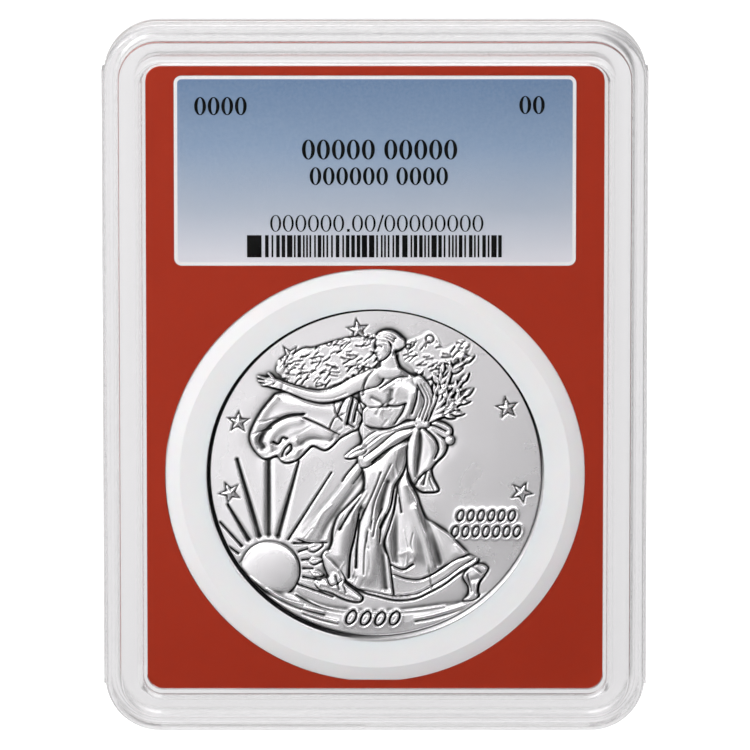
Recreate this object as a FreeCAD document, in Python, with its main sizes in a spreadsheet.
import FreeCAD, Part
import os
import Sketcher

# A sealed collector's case for one large silver coin, standing upright on its short edge.
# X is to the right, Y to the back, Z up. The origin is the middle of the bottom edge.
# "Forward" distances are measured from the mid-plane (Y = 0) towards the front face, so
# forward = -Y. Pieces of the back half are drawn facing forward and then turned about Z.

PARTS_FOLDER = "parts"

DIMENSIONS = {
    # outline of the case
    "case_half_width": 31.6,
    "case_height": 83.6,
    "case_corner": 6.4,
    "case_half_depth": 4.0,
    "grip_land_rise": 0.15,
    "grip_land_low": 5.6,
    "grip_land_high": 78.2,
    # windows and rims: forward distances
    "window_outer": 3.1,
    "window_inner": 1.9,
    # stacking rims: distances in from the outline. The front rim of one case fits inside
    # the back rim of the next.
    "front_shoulder_round": 0.7,
    "front_rim_outer": 1.8,
    "front_rim_inner": 4.55,
    "front_rim_corner": 2.2,
    "back_shoulder_round": 0.35,
    "back_rim_outer": 0.35,
    "back_rim_inner": 1.7,
    "back_rim_corner": 4.7,
    "rim_inner_round": 0.8,
    "rim_outer_round": 0.25,
    # walls inside each shell: distances in from the outline
    "outer_wall": 1.6,
    "locating_rib": 3.7,
    # welded joint round the outer wall
    "weld_outer": 0.6,
    "weld_inner": 1.1,
    "weld_depth": 0.45,
    "weld_gap": 0.05,
    # coloured frame that fills the chamber
    "frame_half_width": 26.67,
    "frame_low": 4.93,
    "frame_high": 78.65,
    "frame_corner": 1.85,
    "frame_half_depth": 1.6,
    "chamber_gap": 0.1,
    # label pockets and labels
    "label_half_width": 23.37,
    "label_low": 55.2,
    "label_high": 77.55,
    "label_corner": 0.9,
    "label_thickness": 0.25,
    "label_gap": 0.05,
    # security foil on the back label
    "foil_half_width": 15.0,
    "foil_low": 59.25,
    "foil_high": 73.25,
    "foil_corner": 2.0,
    "foil_thickness": 0.05,
    # radio inlay behind the front label
    "inlay_half_width": 18.0,
    "inlay_low": 58.25,
    "inlay_high": 74.25,
    "inlay_corner": 1.0,
    "inlay_pocket": 0.25,
    "film_thickness": 0.08,
    "antenna_thickness": 0.05,
    "antenna_margin": 1.0,
    "antenna_track": 0.6,
    "antenna_pitch": 1.1,
    "chip_half_side": 0.7,
    "chip_thickness": 0.14,
    # coin
    "coin_centre": 30.25,
    "coin_radius": 20.3,
    "coin_half_thickness": 1.49,
    "coin_field_radius": 19.2,
    "coin_field_depth": 0.4,
    "coin_edge_bevel": 0.15,
    # gasket ring
    "ring_radius": 24.5,
    "ring_flat_low": 5.93,
    "ring_edge_depth": 1.45,
    "ring_crest_radius": 22.8,
    "ring_crest_depth": 1.84,
    "ring_lip_radius": 19.8,
    "ring_lip_depth": 1.62,
    "ring_dome": 14.0,
    "ring_gap": 0.05,
    "groove_gap": 0.05,
}
ANTENNA_TURNS = 4
# how far, in mm, an edge may lie from where it is looked for
EDGE_SEARCH = 0.05


class Size:
    """A length together with the spreadsheet expression that it comes from."""

    def __init__(self, value, text):
        self.value = value
        self.text = text

    def combine(self, other, sign, result):
        return Size(result, f"({self.text} {sign} {as_size(other).text})")

    def __add__(self, other):
        return self.combine(other, "+", self.value + as_size(other).value)

    def __sub__(self, other):
        return self.combine(other, "-", self.value - as_size(other).value)

    def __mul__(self, other):
        return self.combine(other, "*", self.value * as_size(other).value)

    def __neg__(self):
        return Size(-self.value, f"(0 - {self.text})")


def as_size(number):
    """The number itself where it is a Size already, and a constant Size otherwise."""
    if isinstance(number, Size):
        return number
    return Size(float(number), str(float(number)))


ZERO = as_size(0)
document = FreeCAD.newDocument("coin_case")


def fill_sheet():
    """Writes the driving dimensions to the spreadsheet and returns them as Sizes."""
    sheet = document.addObject("Spreadsheet::Sheet", "Dimensions")
    sizes = {}
    for row, (name, value) in enumerate(DIMENSIONS.items(), start=1):
        sheet.set(f"A{row}", name)
        sheet.set(f"B{row}", str(value))
        sheet.setAlias(f"B{row}", name)
        sizes[name] = Size(value, f"Dimensions.{name}")
    document.recompute()
    return sizes


D = fill_sheet()


# ---- bodies, sketches and features ----


def new_body(name, faces_back=False):
    """An empty body. One that faces back is turned half a turn about Z."""
    body = document.addObject("PartDesign::Body", name)
    body.Label = name
    if faces_back:
        half_turn = FreeCAD.Rotation(FreeCAD.Vector(0, 0, 1), 180)
        body.Placement = FreeCAD.Placement(FreeCAD.Vector(0, 0, 0), half_turn)
    return body


def origin_plane(body, role):
    """One of the body's own origin planes."""
    for feature in body.Origin.OriginFeatures:
        if feature.Role == role:
            return feature
    raise ValueError(f"{body.Label} has no {role}")


def new_sketch(body, name, forward=ZERO, role="XZ_Plane"):
    """A sketch on an origin plane of the body. On XZ_Plane its normal points forward."""
    sketch = body.newObject("Sketcher::SketchObject", f"{body.Name}_{name}")
    sketch.AttachmentSupport = [(origin_plane(body, role), "")]
    sketch.MapMode = "FlatFace"
    if forward is not ZERO:
        sketch.setExpression(".AttachmentOffset.Base.z", forward.text)
    return sketch


def bind(sketch, constraint, size):
    """Adds a dimension to the sketch and binds it to the sheet."""
    index = sketch.addConstraint(constraint)
    sketch.setExpression(f"Constraints[{index}]", size.text)


def place_x(sketch, line, point, size):
    """Holds one end point at a distance from the sketch's vertical axis."""
    if size.value > 0:
        bind(sketch, Sketcher.Constraint("DistanceX", -1, 1, line, point, size.value), size)
    elif size.value < 0:
        bind(sketch, Sketcher.Constraint("DistanceX", line, point, -1, 1, -size.value), -size)
    else:
        sketch.addConstraint(Sketcher.Constraint("PointOnObject", line, point, -2))


def place_y(sketch, line, point, size):
    """Holds one end point at a distance from the sketch's horizontal axis."""
    if size.value > 0:
        bind(sketch, Sketcher.Constraint("DistanceY", -1, 1, line, point, size.value), size)
    elif size.value < 0:
        bind(sketch, Sketcher.Constraint("DistanceY", line, point, -1, 1, -size.value), -size)
    else:
        sketch.addConstraint(Sketcher.Constraint("PointOnObject", line, point, -1))


def vector(x, y):
    return FreeCAD.Vector(x.value, y.value, 0)


def rounded_rectangle(sketch, half_width, low, high, radius):
    """Four straight sides joined by four equal tangent arcs, centred on the vertical axis."""
    w, r = half_width.value, radius.value
    bottom, top = low.value, high.value
    sides = [
        ((r - w, bottom), (w - r, bottom)),
        ((w, bottom + r), (w, top - r)),
        ((w - r, top), (r - w, top)),
        ((-w, top - r), (-w, bottom + r)),
    ]
    diagonal = r * 0.5**0.5
    centres = [(w - r, bottom + r), (w - r, top - r), (r - w, top - r), (r - w, bottom + r)]
    directions = [(1, -1), (1, 1), (-1, 1), (-1, -1)]
    lines = []
    arcs = []
    for start, end in sides:
        segment = Part.LineSegment(FreeCAD.Vector(*start, 0), FreeCAD.Vector(*end, 0))
        lines.append(sketch.addGeometry(segment, False))
    for i, (centre, direction) in enumerate(zip(centres, directions)):
        middle = (centre[0] + direction[0] * diagonal, centre[1] + direction[1] * diagonal)
        start = sides[i][1]
        end = sides[(i + 1) % 4][0]
        arc = Part.Arc(
            FreeCAD.Vector(*start, 0), FreeCAD.Vector(*middle, 0), FreeCAD.Vector(*end, 0)
        )
        arcs.append(sketch.addGeometry(arc, False))
    for i in range(4):
        sketch.addConstraint(Sketcher.Constraint("Tangent", lines[i], 2, arcs[i], 1))
        sketch.addConstraint(Sketcher.Constraint("Tangent", arcs[i], 2, lines[(i + 1) % 4], 1))
    for i in (0, 2):
        sketch.addConstraint(Sketcher.Constraint("Horizontal", lines[i]))
        sketch.addConstraint(Sketcher.Constraint("Vertical", lines[i + 1]))
    for i in (1, 2, 3):
        sketch.addConstraint(Sketcher.Constraint("Equal", arcs[0], arcs[i]))
    bind(sketch, Sketcher.Constraint("Radius", arcs[0], r), radius)
    place_x(sketch, lines[1], 1, half_width)
    place_x(sketch, lines[3], 1, -half_width)
    place_y(sketch, lines[0], 1, low)
    place_y(sketch, lines[2], 1, high)


def case_outline(sketch, inset, corner=None):
    """The case's outline, moved in by the inset."""
    if corner is None:
        corner = D["case_corner"] - inset
    rounded_rectangle(
        sketch, D["case_half_width"] - inset, inset, D["case_height"] - inset, corner
    )


def circle(sketch, radius, height):
    """A circle centred on the vertical axis at a height."""
    round_line = Part.Circle(
        FreeCAD.Vector(0, height.value, 0), FreeCAD.Vector(0, 0, 1), radius.value
    )
    index = sketch.addGeometry(round_line, False)
    bind(sketch, Sketcher.Constraint("Radius", index, radius.value), radius)
    place_x(sketch, index, 3, ZERO)
    place_y(sketch, index, 3, height)


def flatted_circle(sketch, radius, height, flat):
    """A circle whose lowest part is cut off by a level chord."""
    r = radius.value
    drop = height.value - flat.value
    half_chord = (r * r - drop * drop) ** 0.5
    left = FreeCAD.Vector(-half_chord, flat.value, 0)
    right = FreeCAD.Vector(half_chord, flat.value, 0)
    top = FreeCAD.Vector(0, height.value + r, 0)
    chord = sketch.addGeometry(Part.LineSegment(left, right), False)
    arc = sketch.addGeometry(Part.Arc(right, top, left), False)
    sketch.addConstraint(Sketcher.Constraint("Coincident", chord, 2, arc, 1))
    sketch.addConstraint(Sketcher.Constraint("Coincident", chord, 1, arc, 2))
    sketch.addConstraint(Sketcher.Constraint("Horizontal", chord))
    bind(sketch, Sketcher.Constraint("Radius", arc, r), radius)
    place_x(sketch, arc, 3, ZERO)
    place_y(sketch, arc, 3, height)
    place_y(sketch, chord, 1, flat)


def closed_outline(sketch, corners):
    """Straight lines through the corners, each corner held by two dimensions."""
    lines = []
    for start, end in zip(corners, corners[1:] + corners[:1]):
        segment = Part.LineSegment(vector(*start), vector(*end))
        lines.append(sketch.addGeometry(segment, False))
    for line, following in zip(lines, lines[1:] + lines[:1]):
        sketch.addConstraint(Sketcher.Constraint("Coincident", line, 2, following, 1))
    for line, (x, y) in zip(lines, corners):
        place_x(sketch, line, 1, x)
        place_y(sketch, line, 1, y)


def pad(body, sketch, length, reverse=False):
    """Material from the sketch towards the front, or towards the back when reversed."""
    feature = body.newObject("PartDesign::Pad", f"{sketch.Name}_pad")
    feature.Profile = sketch
    feature.Reversed = reverse
    feature.setExpression("Length", length.text)
    document.recompute()
    return feature


def pocket(body, sketch, depth, forward=True):
    """A cavity from the sketch towards the front, or towards the back. It must remove material."""
    before = body.Shape.Volume
    feature = body.newObject("PartDesign::Pocket", f"{sketch.Name}_pocket")
    feature.Profile = sketch
    feature.Reversed = forward
    feature.setExpression("Length", depth.text)
    document.recompute()
    if body.Shape.Volume > before - 1e-6:
        raise RuntimeError(f"{feature.Name} removes nothing")
    return feature


def edges_at(feature, forward, reach):
    """Edges of the loop that lies at a forward distance and a distance in X from the middle.

    The case's outlines are all inset evenly, so a loop that reaches a distance sideways
    reaches the same distance further up and down, less the difference of the half sizes.
    """
    middle = D["case_height"].value / 2
    reach_up = reach + middle - D["case_half_width"].value
    names = []
    for number, edge in enumerate(feature.Shape.Edges, start=1):
        box = edge.BoundBox
        level = abs(box.YMin + forward) < 1e-4 and abs(box.YMax + forward) < 1e-4
        sideways = max(abs(box.XMin), abs(box.XMax))
        upward = max(abs(box.ZMin - middle), abs(box.ZMax - middle))
        if level and abs(max(sideways - reach, upward - reach_up)) < EDGE_SEARCH:
            names.append(f"Edge{number}")
    return names


def dress(body, kind, feature, names, prop, size):
    """A fillet or chamfer on the named edges."""
    if not names:
        raise RuntimeError(f"{body.Label}: no edges for {kind}")
    dressed = body.newObject(f"PartDesign::{kind}", f"{feature.Name}_{kind.lower()}")
    dressed.Base = (feature, names)
    dressed.setExpression(prop, size.text)
    document.recompute()
    return dressed


# ---- the two welded shells ----


def make_shell(side, faces_back):
    """One clear half of the case, with its window, skirt and raised stacking rim."""
    body = new_body(f"{side}_shell", faces_back)
    face, crest = D["window_outer"], D["case_half_depth"]
    rim_outer, rim_inner = D[f"{side}_rim_outer"], D[f"{side}_rim_inner"]
    half_width = D["case_half_width"].value

    sketch = new_sketch(body, "outline")
    case_outline(sketch, ZERO)
    block = pad(body, sketch, face)
    shoulder = edges_at(block, face.value, half_width)
    dress(body, "Fillet", block, shoulder, "Radius", D[f"{side}_shoulder_round"])

    sketch = new_sketch(body, "rim", D["window_inner"])
    case_outline(sketch, rim_outer)
    case_outline(sketch, rim_inner, D[f"{side}_rim_corner"])
    rim = pad(body, sketch, crest - D["window_inner"])
    inner_edges = edges_at(rim, crest.value, half_width - rim_inner.value)
    rounded = dress(body, "Fillet", rim, inner_edges, "Radius", D["rim_inner_round"])
    outer_edges = edges_at(rounded, crest.value, half_width - rim_outer.value)
    dress(body, "Fillet", rounded, outer_edges, "Radius", D["rim_outer_round"])

    make_grip_land(body, "right", 1)
    make_grip_land(body, "left", -1)
    hollow_shell(body)
    return body


def hollow_shell(body):
    """The chamber for the coloured frame, and the channel between its rib and the skirt."""
    sketch = new_sketch(body, "channel")
    case_outline(sketch, D["outer_wall"])
    case_outline(sketch, D["locating_rib"])
    pocket(body, sketch, D["window_inner"])

    sketch = new_sketch(body, "chamber")
    gap = D["chamber_gap"]
    rounded_rectangle(
        sketch,
        D["frame_half_width"] + gap,
        D["frame_low"] - gap,
        D["frame_high"] + gap,
        D["frame_corner"] + gap,
    )
    pocket(body, sketch, D["window_inner"])


def add_weld_tongue(body):
    """The ridge that is melted into the other half's groove when the case is sealed."""
    sketch = new_sketch(body, "weld_tongue")
    case_outline(sketch, D["weld_outer"])
    case_outline(sketch, D["weld_inner"])
    pad(body, sketch, D["weld_depth"], reverse=True)


def cut_weld_groove(body):
    """The groove round the skirt that takes the other half's ridge."""
    gap = D["weld_gap"]
    sketch = new_sketch(body, "weld_groove")
    case_outline(sketch, D["weld_outer"] - gap)
    case_outline(sketch, D["weld_inner"] + gap)
    pocket(body, sketch, D["weld_depth"] + gap)


def make_grip_land(body, name, side):
    """A shallow raised land along one upright side of the shell: side is 1 or -1."""
    sketch = new_sketch(body, f"{name}_land")
    inner = D["case_half_width"] - D["outer_wall"] * 0.5
    outer = D["case_half_width"] + D["grip_land_rise"]
    low, high = D["grip_land_low"], D["grip_land_high"]
    corners = [(inner, low), (outer, low), (outer, high), (inner, high)]
    closed_outline(sketch, [(x * side, z) for x, z in corners])
    pad(body, sketch, D["window_outer"] - D["front_shoulder_round"])


# ---- what the shells hold ----


def make_frame():
    """The coloured frame, with a seat for the gasket ring and pockets for labels and inlay."""
    body = new_body("colour_frame")
    depth = D["frame_half_depth"]
    sketch = new_sketch(body, "plate", -depth)
    rounded_rectangle(
        sketch, D["frame_half_width"], D["frame_low"], D["frame_high"], D["frame_corner"]
    )
    pad(body, sketch, depth * 2)

    sketch = new_sketch(body, "ring_seat", -depth)
    gap = D["ring_gap"]
    flatted_circle(
        sketch, D["ring_radius"] + gap, D["coin_centre"], D["ring_flat_low"] - gap
    )
    pocket(body, sketch, depth * 2)

    gap = D["label_gap"]
    for name, level, forward in (("front", depth, False), ("back", -depth, True)):
        sketch = new_sketch(body, f"{name}_label_pocket", level)
        rounded_rectangle(
            sketch,
            D["label_half_width"] + gap,
            D["label_low"] - gap,
            D["label_high"] + gap,
            D["label_corner"],
        )
        pocket(body, sketch, D["label_thickness"], forward=forward)

    sketch = new_sketch(body, "inlay_pocket", depth - D["label_thickness"])
    rounded_rectangle(
        sketch,
        D["inlay_half_width"] + gap,
        D["inlay_low"] - gap,
        D["inlay_high"] + gap,
        D["inlay_corner"],
    )
    pocket(body, sketch, D["inlay_pocket"], forward=False)
    return body


def make_label(name, faces_back):
    """A card label, flush with the face of the coloured frame."""
    body = new_body(name, faces_back)
    sketch = new_sketch(body, "card", D["frame_half_depth"] - D["label_thickness"])
    rounded_rectangle(
        sketch, D["label_half_width"], D["label_low"], D["label_high"], D["label_corner"]
    )
    pad(body, sketch, D["label_thickness"])
    return body


def make_foil():
    """A foil security patch on the back label."""
    body = new_body("security_foil", faces_back=True)
    sketch = new_sketch(body, "patch", D["frame_half_depth"])
    rounded_rectangle(
        sketch, D["foil_half_width"], D["foil_low"], D["foil_high"], D["foil_corner"]
    )
    pad(body, sketch, D["foil_thickness"])
    return body


def inlay_floor():
    """Forward distance of the floor of the inlay's pocket."""
    return D["frame_half_depth"] - D["label_thickness"] - D["inlay_pocket"]


def make_inlay_film():
    """The plastic film that carries the radio chip and its antenna."""
    body = new_body("nfc_film")
    sketch = new_sketch(body, "sheet", inlay_floor())
    rounded_rectangle(
        sketch, D["inlay_half_width"], D["inlay_low"], D["inlay_high"], D["inlay_corner"]
    )
    pad(body, sketch, D["film_thickness"])
    return body


def antenna_corners():
    """Corners of the antenna: a square-cornered spiral strip, out along one edge, back along the other."""
    half_width = D["inlay_half_width"] - D["antenna_margin"]
    low = D["inlay_low"] + D["antenna_margin"]
    high = D["inlay_high"] - D["antenna_margin"]
    pitch = D["antenna_pitch"]

    def edge(inward):
        """Corners of one edge of the strip, from its outer end to its inner end."""
        corners = []
        for turn in range(ANTENNA_TURNS):
            step = pitch * turn + inward
            ahead = pitch * (turn + 1) + inward
            left, right = step - half_width, half_width - step
            corners.append((left, low + step))
            corners.append((right, low + step))
            corners.append((right, high - step))
            corners.append((ahead - half_width, high - step))
        return corners

    outer = edge(ZERO)
    inner = edge(D["antenna_track"])
    stub = pitch * ANTENNA_TURNS
    # the first corner of the strip's inner edge would cross its own start, so both ends are squared
    outer[0] = (-half_width, low)
    inner[0] = (-half_width, low + D["antenna_track"])
    outer.append((stub - half_width, low + stub + D["antenna_track"]))
    inner.append((stub + D["antenna_track"] - half_width, low + stub + D["antenna_track"]))
    return outer + inner[::-1]


def make_antenna():
    """The etched aerial on the film."""
    body = new_body("nfc_antenna")
    sketch = new_sketch(body, "track", inlay_floor() + D["film_thickness"])
    closed_outline(sketch, antenna_corners())
    pad(body, sketch, D["antenna_thickness"])
    return body


def make_chip():
    """The radio chip, beside the inner end of its antenna."""
    body = new_body("nfc_chip")
    sketch = new_sketch(body, "die", inlay_floor() + D["film_thickness"])
    stub = D["antenna_pitch"] * ANTENNA_TURNS
    left = stub + D["antenna_margin"] + D["antenna_track"] - D["inlay_half_width"]
    low = D["inlay_low"] + D["antenna_margin"] + stub
    side = D["chip_half_side"] * 2
    corners = [(left, low), (left + side, low), (left + side, low + side), (left, low + side)]
    closed_outline(sketch, corners)
    pad(body, sketch, D["chip_thickness"])
    return body


def make_gasket():
    """The soft ring that holds the coin: a domed face each side and a groove for the coin's rim."""
    body = new_body("gasket_ring")
    sketch = new_sketch(body, "section", role="YZ_Plane")
    centre = D["coin_centre"]
    rim_radius = D["coin_radius"] + D["groove_gap"]
    groove = D["coin_half_thickness"] + D["groove_gap"]
    right_half = [
        (groove, D["ring_lip_radius"]),
        (D["ring_lip_depth"], D["ring_lip_radius"]),
        (D["ring_crest_depth"], D["ring_crest_radius"]),
        (D["ring_edge_depth"], D["ring_radius"]),
    ]
    left_half = [(-depth, radius) for depth, radius in right_half[::-1]]
    groove_corners = [(-groove, rim_radius), (groove, rim_radius)]
    corners = [(y, centre + radius) for y, radius in right_half + left_half + groove_corners]
    domes = {2, 4}
    elements = []
    for i, start in enumerate(corners):
        end = corners[(i + 1) % len(corners)]
        elements.append(sketch.addGeometry(section_edge(start, end, i in domes), False))
    for i, element in enumerate(elements):
        following = elements[(i + 1) % len(elements)]
        start_point, end_point = (2, 1) if reversed_arc(sketch, element, corners[i]) else (1, 2)
        next_point = 2 if reversed_arc(sketch, following, corners[(i + 1) % len(corners)]) else 1
        sketch.addConstraint(
            Sketcher.Constraint("Coincident", element, end_point, following, next_point)
        )
        place_x(sketch, element, start_point, corners[i][0])
        place_y(sketch, element, start_point, corners[i][1])
        if i in domes:
            bind(sketch, Sketcher.Constraint("Radius", element, D["ring_dome"].value), D["ring_dome"])
    axis = sketch.addGeometry(
        Part.LineSegment(FreeCAD.Vector(-1, centre.value, 0), FreeCAD.Vector(1, centre.value, 0)), True
    )
    sketch.addConstraint(Sketcher.Constraint("Horizontal", axis))
    sketch.addConstraint(Sketcher.Constraint("DistanceX", axis, 1, axis, 2, 2.0))
    place_x(sketch, axis, 1, as_size(-1))
    place_y(sketch, axis, 1, centre)
    turned = body.newObject("PartDesign::Revolution", "gasket_turned")
    turned.Profile = sketch
    turned.ReferenceAxis = (sketch, ["Axis0"])
    turned.Angle = 360
    document.recompute()

    sketch = new_sketch(body, "flat", -D["frame_half_depth"])
    low = D["ring_flat_low"]
    chord = D["ring_crest_radius"] * 0.5
    closed_outline(sketch, [(-chord, ZERO), (chord, ZERO), (chord, low), (-chord, low)])
    pocket(body, sketch, D["frame_half_depth"] * 2)
    return body


def section_edge(start, end, domed):
    """A straight edge of the gasket's section, or a shallow arc that bulges outward."""
    first, last = vector(*start), vector(*end)
    if not domed:
        return Part.LineSegment(first, last)
    chord = last - first
    outward = FreeCAD.Vector(chord.y, -chord.x, 0).normalize()
    if outward.x * (first.x + last.x) < 0:
        outward = -outward
    radius = D["ring_dome"].value
    rise = radius - (radius**2 - (chord.Length / 2) ** 2) ** 0.5
    return Part.Arc(first, (first + last) * 0.5 + outward * rise, last)


def reversed_arc(sketch, element, start):
    """Whether the sketch stored the element from its far end, as it does with clockwise arcs."""
    return (sketch.getPoint(element, 1) - vector(*start)).Length > 1e-6


def make_coin():
    """A struck silver round: raised rims and sunk fields, with bevelled corners."""
    body = new_body("coin")
    half = D["coin_half_thickness"]
    sketch = new_sketch(body, "blank", -half)
    circle(sketch, D["coin_radius"], D["coin_centre"])
    blank = pad(body, sketch, half * 2)
    names = [f"Edge{i + 1}" for i, edge in enumerate(blank.Shape.Edges) if edge.Closed]
    dress(body, "Chamfer", blank, names, "Size", D["coin_edge_bevel"])
    for name, level, forward in (("obverse", half, False), ("reverse", -half, True)):
        sketch = new_sketch(body, name, level)
        circle(sketch, D["coin_field_radius"], D["coin_centre"])
        pocket(body, sketch, D["coin_field_depth"], forward=forward)
    return body


# ---- checks and files ----


def check_document(bodies):
    """Stops if any object failed or any sub-part is not one valid solid."""
    document.recompute()
    for item in document.Objects:
        if "Invalid" in item.State or "Error" in item.State:
            raise RuntimeError(f"{item.Name}: {item.State}")
    for body in bodies:
        shape = body.Shape
        if shape.isNull() or not shape.isValid() or len(shape.Solids) != 1:
            raise RuntimeError(f"{body.Label} is not one valid solid")


def main():
    front_shell = make_shell("front", False)
    add_weld_tongue(front_shell)
    back_shell = make_shell("back", True)
    cut_weld_groove(back_shell)
    bodies = [
        front_shell,
        back_shell,
        make_frame(),
        make_gasket(),
        make_coin(),
        make_label("front_label", False),
        make_label("back_label", True),
        make_foil(),
        make_inlay_film(),
        make_antenna(),
        make_chip(),
    ]
    check_document(bodies)
    os.makedirs(PARTS_FOLDER, exist_ok=True)
    for body in bodies:
        body.Shape.exportStep(f"{PARTS_FOLDER}/{body.Label}.step")
        box = body.Shape.optimalBoundingBox()
        print(
            f"{body.Label}: {body.Shape.Volume:.1f} mm3,"
            f" X {box.XMin:.2f} to {box.XMax:.2f},"
            f" Y {box.YMin:.2f} to {box.YMax:.2f}, Z {box.ZMin:.2f} to {box.ZMax:.2f}"
        )


main()
